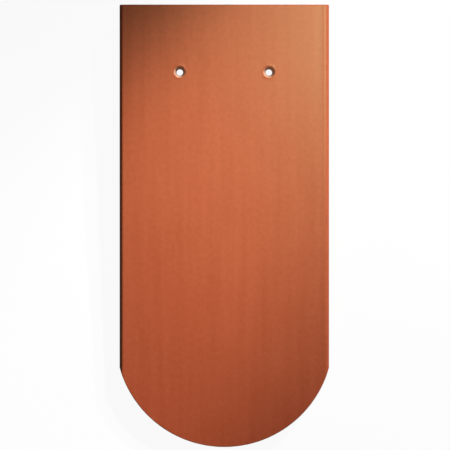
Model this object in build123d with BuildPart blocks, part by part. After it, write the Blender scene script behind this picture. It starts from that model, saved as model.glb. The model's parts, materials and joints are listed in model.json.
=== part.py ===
"""A plain clay roof tile with a round-cut tail, fired in one piece.

The clay leaves the press as a flat strand, so one section runs the whole length of the tile. The strand is
cut straight at the head and round at the tail, punched for two nails, and given a nib to hang by.

The tile is drawn flat, with X across it, Y from its tail up to its head, and its weather face at Z = 0.
It is then laid down as it rests unheld: on the crest of its nib and on the tip of its tail, with the middle
of its box over the origin.
"""

import os
from math import asin, atan, atan2, degrees, hypot

from build123d import *

# Plate
width = 180.0
length = 380.0
thickness = 13.0
tail_rise = 68.2  # from the tip of the tail up to the corners where its arc meets the long edges

# Long edges of the weather face: a gentle roll, then a steep bevel down to the side wall
roll_width = 3.4
roll_drop = 0.25
bevel_width = 1.7
bevel_drop = 2.6

# Rounding of the arrises
side_arris = 2.0  # along the back of the long edges
tail_arris = 1.2
head_arris = 0.7

# Shallow flutes along the back, counted inwards from each long edge
flutes_per_side = 2
flute_width = 16.0
flute_depth = 0.9
flute_pitch = 20.0
edge_land = 8.0

# Nail holes, punched down from the weather face
nail_spacing = 76.7
nail_from_head = 58.0
nail_hole_radius = 2.9
nail_mouth_radius = 4.7
nail_funnel_depth = 5.0
nail_lip_radius = 1.6

# Hanging nib on the back
nib_height = 14.0
nib_face_from_head = 20.0
nib_root_width = 46.0
nib_root_length = 16.0
nib_crest_width = 38.0
nib_crest_length = 9.0
nib_corner_radius = 4.0
nib_crest_arris = 1.5
nib_root_fillet = 2.5

# Places that follow from the sizes
half_width = width / 2
head_y = length / 2
tail_y = -length / 2
back_z = -thickness
bevel_foot_z = -roll_drop - bevel_drop
nail_y = head_y - nail_from_head
nib_face_y = head_y - nib_face_from_head
nib_crest_z = back_z - nib_height

# The tail's arc passes through both of its corners and its tip
tail_corner_y = tail_y + tail_rise
tail_radius = (half_width**2 + tail_rise**2) / (2 * tail_rise)

# A flute is a shallow slice of a round cutter
flute_radius = ((flute_width / 2) ** 2 + flute_depth**2) / (2 * flute_depth)
outer_flute_x = half_width - edge_land - flute_width / 2


def strand_section():
    """The strand seen from its tail, without the flutes, with the weather face on top."""
    roll_start = (half_width - bevel_width - roll_width, 0)
    roll_end = (half_width - bevel_width, -roll_drop)
    bevel_foot = (half_width, bevel_foot_z)
    wall_foot = (half_width, back_z + side_arris)
    back_edge = (half_width - side_arris, back_z)
    with BuildSketch(Plane.XZ.offset(-head_y)) as section:
        with BuildLine():
            Line((0, 0), roll_start)
            TangentArc(roll_start, roll_end, tangent=(1, 0))
            Line(roll_end, bevel_foot)
            Line(bevel_foot, wall_foot)
            TangentArc(wall_foot, back_edge, tangent=(0, -1))
            Line(back_edge, (0, back_z))
            mirror(about=Plane.YZ)
        make_face()
    return section.sketch


def flute_cutters():
    """Round cutters that dip into the back by the depth of a flute."""
    cutter_z = back_z + flute_depth - flute_radius
    with BuildSketch(Plane.XZ.offset(-head_y)) as cutters:
        for side in (-1, 1):
            for i in range(flutes_per_side):
                with Locations((side * (outer_flute_x - i * flute_pitch), cutter_z)):
                    Circle(flute_radius)
    return cutters.sketch


def tail_offcut():
    """What the round knife takes off the end of the strand, outside the tail's arc."""
    with BuildSketch() as offcut:
        with Locations((0, tail_corner_y)):
            Rectangle(2 * width, 2 * tail_rise, align=(Align.CENTER, Align.MAX))
        with Locations((0, tail_y + tail_radius)):
            Circle(tail_radius, mode=Mode.SUBTRACT)
    return offcut.sketch


def hanging_nib():
    """A block with an upright face towards the tail, to hang on the batten, and drafted sides elsewhere."""
    with BuildPart() as block:
        with BuildSketch(Plane.YZ):
            with BuildLine():
                Polyline(
                    (nib_face_y, back_z),
                    (nib_face_y, nib_crest_z),
                    (nib_face_y + nib_crest_length, nib_crest_z),
                    (nib_face_y + nib_root_length, back_z),
                    close=True,
                )
            make_face()
        extrude(amount=nib_root_width, both=True)
        with BuildSketch(Plane.XZ.offset(-head_y)):
            with BuildLine():
                Polyline(
                    (-nib_root_width / 2, back_z),
                    (-nib_crest_width / 2, nib_crest_z),
                    (nib_crest_width / 2, nib_crest_z),
                    (nib_root_width / 2, back_z),
                    close=True,
                )
            make_face()
        extrude(amount=length, mode=Mode.INTERSECT)
        fillet(block.edges().group_by(Axis.Z)[1], radius=nib_corner_radius)
        fillet(block.faces().sort_by(Axis.Z)[0].edges(), radius=nib_crest_arris)
    return block.part


def cut_arrises(wall):
    """The edges of a cut wall along the weather face and along the back."""
    along_face = wall.edges().filter_by_position(Axis.Z, bevel_foot_z, 0)
    along_back = wall.edges().filter_by_position(Axis.Z, back_z, back_z + side_arris)
    return along_face + along_back


def resting_lean():
    """The angle at which a level floor touches the rounded crest of the nib and the rounded tip of the tail."""
    crest_y, crest_z = nib_face_y + nib_crest_arris, nib_crest_z + nib_crest_arris
    tip_y, tip_z = tail_y + tail_arris, back_z + tail_arris
    between_centres = hypot(crest_y - tip_y, tip_z - crest_z)
    return degrees(
        atan2(tip_z - crest_z, crest_y - tip_y)
        + asin((nib_crest_arris - tail_arris) / between_centres)
    )


nib = hanging_nib()

with BuildPart() as tile:
    # The strand, cut to length and round at the tail, with its cut arrises eased
    extrude(strand_section(), amount=length)
    extrude(tail_offcut(), amount=thickness, dir=(0, 0, -1), mode=Mode.SUBTRACT)
    fillet(cut_arrises(tile.faces().filter_by(GeomType.CYLINDER).sort_by(Axis.Y)[0]), radius=tail_arris)
    fillet(cut_arrises(tile.faces().sort_by(Axis.Y)[-1]), radius=head_arris)
    extrude(flute_cutters(), amount=length, mode=Mode.SUBTRACT)

    # The nib, run into the back by a fillet all round
    add(nib)
    nib_root = tile.edges(Select.LAST).filter_by_position(Axis.Z, back_z, back_z)
    fillet(nib_root.filter_by_position(Axis.Y, nib_face_y, head_y), radius=nib_root_fillet)

    # Nail holes: a funnel from the weather face, then a straight hole out of the back
    funnel_angle = 2 * degrees(atan((nail_mouth_radius - nail_hole_radius) / nail_funnel_depth))
    with Locations((-nail_spacing / 2, nail_y, 0), (nail_spacing / 2, nail_y, 0)):
        CounterSinkHole(nail_hole_radius, nail_mouth_radius, counter_sink_angle=funnel_angle)
    nail_mouths = tile.edges(Select.LAST).filter_by(GeomType.CIRCLE).filter_by_position(Axis.Z, 0, 0)
    fillet(nail_mouths, radius=nail_lip_radius)

# Laid down at rest
leaning = tile.part.rotate(Axis.X, resting_lean())
box = leaning.bounding_box()
with BuildPart() as roof_tile:
    with Locations((-box.center().X, -box.center().Y, -box.min.Z)):
        add(leaning)

roof_tile.part.label = "roof_tile"
os.makedirs("parts", exist_ok=True)
export_step(roof_tile.part, "parts/roof_tile.step")
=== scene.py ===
"""The looks of a clay roof tile with a round-cut tail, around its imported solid. Lengths are in metres."""

import json
import math

import bmesh
import bpy
from mathutils import Matrix, Vector, noise


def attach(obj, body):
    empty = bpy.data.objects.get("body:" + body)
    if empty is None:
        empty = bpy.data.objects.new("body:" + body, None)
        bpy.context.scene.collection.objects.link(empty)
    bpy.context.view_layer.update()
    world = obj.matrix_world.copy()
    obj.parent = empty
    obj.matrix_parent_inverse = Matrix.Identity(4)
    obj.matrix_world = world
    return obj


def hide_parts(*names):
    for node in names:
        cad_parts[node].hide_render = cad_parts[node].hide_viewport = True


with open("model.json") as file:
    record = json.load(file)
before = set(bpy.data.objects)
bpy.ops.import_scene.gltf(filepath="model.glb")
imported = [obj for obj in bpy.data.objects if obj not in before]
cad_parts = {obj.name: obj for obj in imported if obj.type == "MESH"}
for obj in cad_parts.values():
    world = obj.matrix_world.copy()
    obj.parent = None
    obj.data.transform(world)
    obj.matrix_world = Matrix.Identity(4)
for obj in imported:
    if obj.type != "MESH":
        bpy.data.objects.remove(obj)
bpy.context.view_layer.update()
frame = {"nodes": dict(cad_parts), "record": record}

# The tile. One strand of red clay, pressed through a die that leaves faint drag lines along it, then cut with
# a wire at the head and with a round knife at the tail, which leave marks down through the cut walls. It is
# dried on racks and fired without a glaze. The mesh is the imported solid's, cut up finely to take the marks.
mounts = {mount["name"]: mount for mount in frame["record"]["mounts"]}
face_middle = Vector(mounts["weather_face"]["pos_m"])
face_normal = Vector(mounts["weather_face"]["axis"])
back_middle = Vector(mounts["back_face"]["pos_m"])
lean = math.atan2(-face_normal.y, face_normal.z)
laid_down = Matrix.Translation(face_middle) @ Matrix.Rotation(lean, 4, "X")
drawn_flat = laid_down.inverted()  # X across the tile, Y from tail to head, the weather face at Z = 0
thickness = (face_middle - back_middle).dot(face_normal)

clay_body = bmesh.new()
clay_body.from_mesh(frame["nodes"]["roof_tile"].data)
bmesh.ops.remove_doubles(clay_body, verts=clay_body.verts, dist=2e-6)
bmesh.ops.transform(clay_body, matrix=drawn_flat, verts=clay_body.verts)
bmesh.ops.dissolve_limit(
    clay_body, angle_limit=math.radians(0.05), verts=clay_body.verts, edges=clay_body.edges
)
half_width = max(vert.co.x for vert in clay_body.verts)
head_y = max(vert.co.y for vert in clay_body.verts)
tail_y = min(vert.co.y for vert in clay_body.verts)


def slice_evenly(mesh, axis, first, last, step):
    """Cuts the mesh with evenly spaced planes across one axis."""
    count = math.ceil((last - first) / step)
    for i in range(1, count):
        place, direction = Vector(), Vector()
        place[axis] = first + (last - first) * i / count
        direction[axis] = 1
        everything = [*mesh.verts, *mesh.edges, *mesh.faces]
        bmesh.ops.bisect_plane(mesh, geom=everything, plane_co=place, plane_no=direction, dist=1e-7)


slice_evenly(clay_body, axis=0, first=-half_width, last=half_width, step=0.0010)
rounded_strip = (0.0002, 0.0062)  # in from each long edge, over the bevel and the roll, cut more finely
for side in (-1, 1):
    strip_start, strip_end = sorted(side * (half_width - inset) for inset in rounded_strip)
    slice_evenly(clay_body, axis=0, first=strip_start, last=strip_end, step=0.00035)
slice_evenly(clay_body, axis=1, first=tail_y, last=head_y, step=0.0050)
slice_evenly(clay_body, axis=2, first=-thickness, last=0, step=0.0020)
clay_body.normal_update()

# How deep the marks are pressed into the clay
die_line_depth = 0.000050
fine_line_depth = 0.000012
hollow_depth = 0.000060
edge_hollow_depth = 0.000055
cut_mark_depth = 0.000120
back_dent_depth = 0.000120


def ripple(place, across, along, through, layer):
    """Smooth noise from 0 to 1. Its features have about these lengths, and each layer is another pattern."""
    sample = (place.x / across, place.y / along, place.z / through + layer)
    return min(1.0, max(0.0, 0.5 + 0.5 * noise.noise(sample)))


def smooth_step(value, low, high):
    """Rises smoothly from 0 at the low value to 1 at the high one."""
    share = min(1.0, max(0.0, (value - low) / (high - low)))
    return share * share * (3 - 2 * share)


def die_marks(place):
    """How deep the die's drag lines and the slow hollows of drying are at a place."""
    lines = ripple(place, across=0.0070, along=0.150, through=0.004, layer=3.1)
    fine_lines = ripple(place, across=0.0022, along=0.060, through=0.002, layer=8.7)
    hollows = ripple(place, across=0.060, along=0.110, through=math.inf, layer=5.3)
    hollow_start, hollow_bottom, hollow_end = 0.0042, 0.0058, 0.0140  # in from each long edge
    from_edge = half_width - abs(place.x)
    edge_hollow = smooth_step(from_edge, hollow_start, hollow_bottom) * (
        1 - smooth_step(from_edge, hollow_bottom, hollow_end)
    )
    return (
        die_line_depth * lines + fine_line_depth * fine_lines + hollow_depth * hollows
        + edge_hollow_depth * edge_hollow
    )


def cut_marks(place):
    """How deep the marks of the wire or the knife are in a cut wall."""
    coarse = ripple(place, across=0.0045, along=0.0045, through=0.030, layer=1.7)
    fine = ripple(place, across=0.0014, along=0.0014, through=0.012, layer=4.9)
    return cut_mark_depth * (0.7 * coarse + 0.3 * fine)


def back_marks(place):
    """How deep the dents of the drying rack and the coarser drag of the back are."""
    dents = ripple(place, across=0.014, along=0.018, through=math.inf, layer=2.2)
    drag = ripple(place, across=0.0030, along=0.080, through=math.inf, layer=9.4)
    return back_dent_depth * (0.6 * dents + 0.4 * drag)


# The corner between the bevel and the roll of a long edge: as packed, and as the die's worn lip leaves it
bevel_foot, packed_corner_height = -0.00285, -0.00025  # up from the weather face
packed_corner = 0.0017  # in from each long edge
worn_corners = {-1: 0.0023, 1: 0.0019}  # in from the left edge and from the right one
worn_radius = 0.0012
roll_slope = 0.147


def lip_wear(from_edge, worn_corner):
    """How far the die's worn lip lowers the surface beside a long edge."""
    packed = min(
        bevel_foot + from_edge * (packed_corner_height - bevel_foot) / packed_corner,
        packed_corner_height + (from_edge - packed_corner) * roll_slope,
    )
    worn_height = packed_corner_height + (worn_corner - packed_corner) * roll_slope
    roll_tilt, bevel_tilt = math.atan(roll_slope), math.atan((worn_height - bevel_foot) / worn_corner)
    tangent = worn_radius * math.tan((bevel_tilt - roll_tilt) / 2)
    inner, outer = tangent * math.cos(roll_tilt), -tangent * math.cos(bevel_tilt)
    across = from_edge - worn_corner
    if across > inner:
        return 0
    if across < outer:
        worn = worn_height + across * math.tan(bevel_tilt)
    else:
        centre_across = inner + worn_radius * math.sin(roll_tilt)
        centre_height = worn_height + inner * roll_slope - worn_radius * math.cos(roll_tilt)
        worn = centre_height + math.sqrt(worn_radius**2 - (across - centre_across) ** 2)
    return max(0, packed - worn)


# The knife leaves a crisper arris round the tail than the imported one
tail_corner_y = min(vert.co.y for vert in clay_body.verts if abs(vert.co.x) > half_width - 1e-5)
tail_rise = tail_corner_y - tail_y
tail_radius = (half_width**2 + tail_rise**2) / (2 * tail_rise)
arris_radius, crispness = 0.0012, 5
above_bevel_foot, off_the_wall = -0.0027, 0.0001
for vert in clay_body.verts:
    from_centre = Vector((vert.co.x, vert.co.y - (tail_y + tail_radius)))
    outwards = (from_centre.length - (tail_radius - arris_radius)) / arris_radius
    upwards = (vert.co.z + arris_radius) / arris_radius
    from_edge = half_width - abs(vert.co.x)
    if vert.co.z > above_bevel_foot and from_edge > off_the_wall:
        vert.co.z -= lip_wear(from_edge, worn_corners[1 if vert.co.x > 0 else -1])
    if vert.co.y < tail_corner_y and outwards > 0 and upwards > 0:
        stretch = (outwards**crispness + upwards**crispness) ** (-1 / crispness)
        shift = (stretch - 1) * outwards * arris_radius
        vert.co.x += shift * from_centre.x / from_centre.length
        vert.co.y += shift * from_centre.y / from_centre.length
        vert.co.z += (stretch - 1) * upwards * arris_radius
clay_body.normal_update()

# The marks go straight in, so all of them are worked out before any corner of the mesh moves
nail_holes = [drawn_flat @ Vector(mounts["nail_hole_" + side]["pos_m"]) for side in ("left", "right")]
punched_reach = 0.0085  # from a hole's axis
pressed_in = {}
for vert in clay_body.verts:
    facing = vert.normal
    from_hole = min(math.hypot(vert.co.x - hole.x, vert.co.y - hole.y) for hole in nail_holes)
    near_a_cut_wall = vert.co.y < tail_corner_y or abs(facing.y) > 0.5
    if from_hole < punched_reach:
        depth = die_marks(vert.co) if facing.z > 0.999 else 0
    elif near_a_cut_wall:
        level = abs(facing.z)
        flat_part = die_marks(vert.co) if facing.z > 0 else back_marks(vert.co)
        depth = level * flat_part + (1 - level) * cut_marks(vert.co)
    elif facing.z > 0:
        depth = die_marks(vert.co)
    else:
        downwards = max(0, -facing.z)
        depth = downwards * back_marks(vert.co) + (1 - downwards) * die_marks(vert.co)
    pressed_in[vert] = -depth * facing
for vert, move in pressed_in.items():
    vert.co += move

# Four finishes: the satin skin that the die leaves, the cut walls, the back, and the walls of the nail holes
skin_index, cut_index, back_index, punched_index = range(4)
hole_wall_reach = 0.0056  # from a hole's axis
lip_depth = 0.0004
for face in clay_body.faces:
    face.smooth = True
    middle = face.calc_center_median()
    upright = abs(face.normal.z) < 0.6
    at_an_end = abs(face.normal.y) > 0.3 or middle.y < tail_corner_y
    from_hole = min(math.hypot(middle.x - hole.x, middle.y - hole.y) for hole in nail_holes)
    if from_hole < hole_wall_reach and -thickness + lip_depth < middle.z < -lip_depth:
        face.material_index = punched_index
    elif middle.z < -thickness + lip_depth or face.normal.z < -0.7:
        face.material_index = back_index
    elif upright and at_an_end:
        face.material_index = cut_index
    else:
        face.material_index = skin_index

bmesh.ops.transform(clay_body, matrix=laid_down, verts=clay_body.verts)
clay_body.normal_update()
tile_mesh = bpy.data.meshes.new("clay_tile")
clay_body.to_mesh(tile_mesh)
clay_body.free()
tile_mesh.set_sharp_from_angle(angle=math.radians(30))
tile = bpy.data.objects.new("clay_tile", tile_mesh)
bpy.context.scene.collection.objects.link(tile)
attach(tile, "root")
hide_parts("roof_tile")


class Shade:
    """A socket of a material's nodes. Sums and products of shades add their Math nodes."""

    def __init__(self, tree, socket=None):
        self.tree, self.socket = tree, socket

    def node(self, kind, settings, sockets, output=0):
        """Adds a node: its settings first, then the values or links of its sockets."""
        made = self.tree.nodes.new("ShaderNode" + kind)
        for name, value in settings.items():
            if name == "stops":
                for stop, (position, grey) in zip(made.color_ramp.elements, value, strict=True):
                    stop.position, stop.color = position, (grey, grey, grey, 1)
            else:
                setattr(made, name, value)
        for name, value in sockets.items():
            if isinstance(value, Shade):
                self.tree.links.new(value.socket, made.inputs[name])
            else:
                made.inputs[name].default_value = value
        return Shade(self.tree, made.outputs[output])

    def mixed(self, share, first, second, blend_type="MIX"):
        """Mixes two colours by a share that is kept between 0 and 1."""
        settings = {"data_type": "RGBA", "blend_type": blend_type, "clamp_factor": True}
        return self.node("Mix", settings, {0: share, 6: first, 7: second}, output=2)

    def _maths(self, operation, first, second):
        return self.node("Math", {"operation": operation}, {0: first, 1: second})

    def __add__(self, other):
        return self._maths("ADD", self, other)

    def __sub__(self, other):
        return self._maths("SUBTRACT", self, other)

    def __rsub__(self, other):
        return self._maths("SUBTRACT", other, self)

    def __mul__(self, other):
        return self._maths("MULTIPLY", self, other)

    __radd__, __rmul__ = __add__, __mul__


def clay_finish(
    name, colour, pale_colour, roughness, grain_depth, streaks, sheen=0.5, sheen_tint=(0.88, 1.0, 0.484)
):
    """Fired clay: colour that varies in streaks and clouds, painted shade that darkens it towards the tail, a
    few specks, and a fine grain.
    """
    material = bpy.data.materials.new(name)
    material.use_nodes = True
    tree = material.node_tree
    start = Shade(tree)
    place = start.node("TexCoord", {}, {}, output="Object")
    along = start.node(
        "Mapping", {"vector_type": "TEXTURE"},
        {"Vector": place, "Location": tuple(face_middle), "Rotation": (lean, 0, 0)},
    )
    drawn_out = start.node("Mapping", {}, {"Vector": along, "Scale": (1, 0.045, 1)})

    def clouds(vector, per_metre, detail):
        return start.node(
            "TexNoise", {"noise_dimensions": "3D"},
            {"Vector": vector, "Scale": per_metre, "Detail": detail, "Roughness": 0.5},
        )

    # Streaks along the tile, clouds and mottle between the two colours of the clay
    streak = clouds(drawn_out, per_metre=140, detail=2)
    cloud = clouds(along, per_metre=22, detail=3)
    mottle = clouds(along, per_metre=260, detail=2)
    cloud_share, mottle_share = 0.9, 1.7
    paleness = streaks * (streak - 0.5) + cloud_share * (cloud - 0.5) + mottle_share * (mottle - 0.5) + 0.5
    tint = start.mixed(paleness, (*colour, 1), (*pale_colour, 1))

    # Painted shade: the colour turns a little redder and darker from the head towards the tail
    up_the_tile = start.node("SeparateXYZ", {}, {"Vector": along}, output="Y")
    change_per_metre, share_at_middle = 3.4, 0.85
    redder, unchanged = (0.94, 0.76, 0.77, 1), (1, 1, 1, 1)
    painted_tail_shade = start.mixed(up_the_tile * change_per_metre + share_at_middle, redder, unchanged)
    shaded_tint = start.mixed(1.0, tint, painted_tail_shade, blend_type="MULTIPLY")

    # A few dark specks, and the grain
    fleck = start.node("TexVoronoi", {"feature": "F1"}, {"Vector": along, "Scale": 95, "Randomness": 1.0})
    speck = start.node("ValToRGB", {"stops": ((0.0, 1.0), (0.055, 0.0))}, {"Fac": fleck})
    speck_strength, speck_colour = 0.35, (0.17, 0.035, 0.018, 1)
    specked = start.mixed(speck_strength * speck, shaded_tint, speck_colour)
    grain = clouds(along, per_metre=2200, detail=2)
    mottle_height = 0.6
    relief = start.node(
        "Bump", {}, {"Strength": 1.0, "Distance": grain_depth, "Height": grain + mottle_height * mottle}
    )

    shader = tree.nodes["Principled BSDF"]
    streak_roughness, mottle_roughness = 0.06, 0.05
    varied_roughness = (
        roughness + streak_roughness * (streak - 0.5) + mottle_roughness * (mottle - 0.5)
    )
    for socket, shade in (("Base Color", specked), ("Roughness", varied_roughness), ("Normal", relief)):
        tree.links.new(shade.socket, shader.inputs[socket])
    shader.inputs["Specular IOR Level"].default_value = sheen
    shader.inputs["Specular Tint"].default_value = (*sheen_tint, 1)
    return material


# In the order of the four finishes' numbers
tile_mesh.materials.append(clay_finish(
    "satin_clay_skin", colour=(0.430, 0.0902, 0.0346), pale_colour=(0.485, 0.1095, 0.0454),
    roughness=0.387, grain_depth=0.00001, streaks=1.6,
))
tile_mesh.materials.append(clay_finish(
    "cut_clay", colour=(0.46, 0.060, 0.024), pale_colour=(0.55, 0.11, 0.045),
    roughness=0.62, grain_depth=0.00003, streaks=0.2,
))
tile_mesh.materials.append(clay_finish(
    "back_clay", colour=(0.45, 0.060, 0.024), pale_colour=(0.54, 0.10, 0.045),
    roughness=0.66, grain_depth=0.00004, streaks=0.8,
))
tile_mesh.materials.append(clay_finish(
    "punched_clay", colour=(0.50, 0.25, 0.145), pale_colour=(0.62, 0.37, 0.24),
    roughness=0.45, grain_depth=0.00002, streaks=0.2, sheen=1.0, sheen_tint=(1.0, 0.95, 0.8),
))

# The floor of the studio, a plain pale board. Rays from the camera see it almost white, with the tile's
# shadow kept, and the light that it throws back on to the tile is that of a duller board.
board = bmesh.new()
bmesh.ops.create_grid(board, x_segments=1, y_segments=1, size=3)
floor_mesh = bpy.data.meshes.new("floor")
board.to_mesh(floor_mesh)
board.free()
floor = bpy.data.objects.new("floor", floor_mesh)
bpy.context.scene.collection.objects.link(floor)

floor_paint = bpy.data.materials.new("pale_board")
floor_paint.use_nodes = True
floor_tree = floor_paint.node_tree
floor_tree.nodes.remove(floor_tree.nodes["Principled BSDF"])
floor_start = Shade(floor_tree)
seen_by_camera = floor_start.node("LightPath", {}, {}, output="Is Camera Ray")
dull = floor_start.node("BsdfDiffuse", {}, {"Color": (0.25, 0.25, 0.25, 1)})
pale = floor_start.node("BsdfDiffuse", {}, {"Color": (0.9, 0.9, 0.9, 1)})
white = floor_start.node("Emission", {}, {"Color": (1, 1, 1, 1), "Strength": 1.0})
shadow_share = 0.06
seen = floor_start.node("MixShader", {}, {0: shadow_share, 1: white, 2: pale})
either = floor_start.node("MixShader", {}, {0: seen_by_camera, 1: dull, 2: seen})
floor_tree.links.new(either.socket, floor_tree.nodes["Material Output"].inputs["Surface"])
floor_mesh.materials.append(floor_paint)


# The lamps. Two low keys from the upper right, whose beams leave the left corner of the head dim, and a small
# one high over the right corner of the head. The satin face would mirror the keys as a white glare, so they
# light the clay alone, and a weaker gleam from the near key's place lights the gloss on it.
def hang_spot(name, place, aim, power, half_angle, blend, radius, lights_clay=True, lights_gloss=True):
    """Hangs a spot lamp and aims it. It may light the clay itself, the gloss on it, or both."""
    lamp = bpy.data.lights.new(name, "SPOT")
    lamp.energy = power
    lamp.spot_size = 2 * math.radians(half_angle)
    lamp.spot_blend = blend
    lamp.shadow_soft_size = radius
    holder = bpy.data.objects.new(name, lamp)
    bpy.context.scene.collection.objects.link(holder)
    holder.visible_diffuse, holder.visible_glossy = lights_clay, lights_gloss
    holder.location = place
    holder.rotation_euler = (aim - place).to_track_quat("-Z", "Y").to_euler()


def from_face(x, y, height):
    """A place measured from the middle of the weather face, across it, up it and out of it."""
    return laid_down @ Vector((x, y, height))


hang_spot(
    "near_key", from_face(0.840, 0.922, 0.568), from_face(0.189, 0.089, 0),
    power=82.3, half_angle=11.76, blend=0.425, radius=0.03, lights_gloss=False,
)
hang_spot(
    "far_key", from_face(1.393, 1.894, 1.421), from_face(-0.234, -0.188, 0),
    power=318, half_angle=5.13, blend=0.752, radius=0.05, lights_gloss=False,
)
hang_spot(
    "gleam", from_face(0.840, 0.922, 0.568), from_face(0, 0, 0),
    power=16, half_angle=20, blend=0.5, radius=0.15, lights_clay=False,
)
hang_spot(
    "head_lamp", from_face(0.193, 0.250, 0.736), from_face(0.159, 0.097, 0),
    power=9.9, half_angle=24.2, blend=1.0, radius=0.04,
)

# The room round the floor. The camera sees it white, and its walls throw a weak even light back on to the
# clay, so that what turns away from the lamps doesn't go black.
room = bpy.data.worlds.new("studio")
bpy.context.scene.world = room
room.use_nodes = True
room_start = Shade(room.node_tree)
on_camera = room_start.node("LightPath", {}, {}, output="Is Camera Ray")
backdrop = room_start.mixed(on_camera, (0.055, 0.055, 0.055, 1), (1, 1, 1, 1))
room.node_tree.links.new(backdrop.socket, room.node_tree.nodes["Background"].inputs["Color"])

# The camera, square on to the weather face, with a long lens. The picture is 450 pixels wide and high,
# and the middle of the tile lies a little left of its middle and below it.
lens, sensor = 230, 36
pixels_across, pixels_per_metre = 450, 1165.2
picture_middle, tile_from_left, tile_from_top = 225, 224.3, 225.8
camera_distance = pixels_across / pixels_per_metre * lens / sensor
camera_data = bpy.data.cameras.new("camera")
camera_data.lens, camera_data.sensor_width = lens, sensor
camera = bpy.data.objects.new("camera", camera_data)
bpy.context.scene.collection.objects.link(camera)
right_of_middle = (picture_middle - tile_from_left) / pixels_per_metre
above_middle = (tile_from_top - picture_middle) / pixels_per_metre
camera.matrix_world = laid_down @ Matrix.Translation((right_of_middle, above_middle, camera_distance))
bpy.context.scene.camera = camera
bpy.context.scene.view_settings.view_transform = "Standard"
